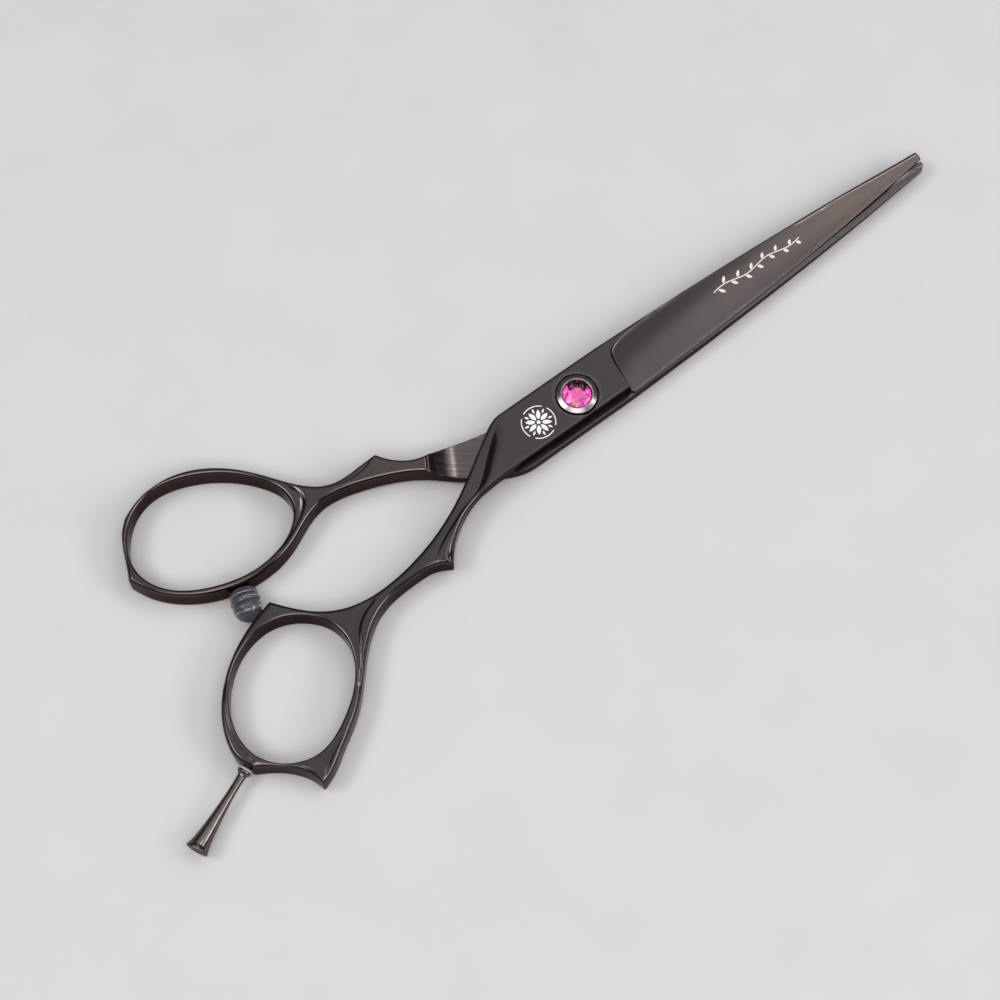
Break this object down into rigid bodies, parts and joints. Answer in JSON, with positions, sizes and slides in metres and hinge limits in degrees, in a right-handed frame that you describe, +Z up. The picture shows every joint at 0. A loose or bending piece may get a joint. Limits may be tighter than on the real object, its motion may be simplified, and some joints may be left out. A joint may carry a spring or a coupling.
{
  "type": "hair cutting shears",
  "caption": "Closed hair cutting shears with offset handles, a removable finger rest, a clear bumper and a stone set pivot screw; the thumb half turns about the pivot.",
  "frame": {"origin": "on the pivot axis at the underside of the tension nut, which is also the plane that the shears lie on", "axes": "+X from the pivot to the blade tips, +Z up out of the face with the stone, +Y towards the thumb ring"},
  "size_m": [0.1748, 0.0595, 0.0074],
  "materials": {
    "coated_steel": "mirror polished with a dark titanium coating",
    "screw_steel": "turned and polished with a dark coating",
    "spring_steel": "plain spring steel",
    "bushing_brass": "turned",
    "nylon": "natural nylon",
    "stone_glass": "faceted and polished pink glass",
    "foil": "mirror foil",
    "clear_plastic": "clear smoky moulded plastic"
  },
  "bodies": {
    "finger_side": {"finger_half": "coated_steel", "pivot_screw": "screw_steel", "head_washer": "nylon", "stone": "stone_glass", "stone_foil": "foil", "spring_washer": "spring_steel", "rest_washer": "nylon", "finger_rest": "coated_steel"},
    "thumb_side": {"thumb_half": "coated_steel", "pivot_bushing": "bushing_brass", "bumper": "clear_plastic"},
    "nut": {"tension_nut": "screw_steel"}
  },
  "joints": [
    {"name": "blade_pivot", "type": "hinge", "parent": "finger_side", "child": "thumb_side", "pos_m": [0, 0, 0.0035], "axis": [0, 0, -1], "range_deg": [0, 145]},
    {"name": "tension_dial", "type": "hinge", "parent": "finger_side", "child": "nut", "pos_m": [0, 0, 0.0008], "axis": [0, 0, -1], "range_deg": [-90, 90]}
  ]
}
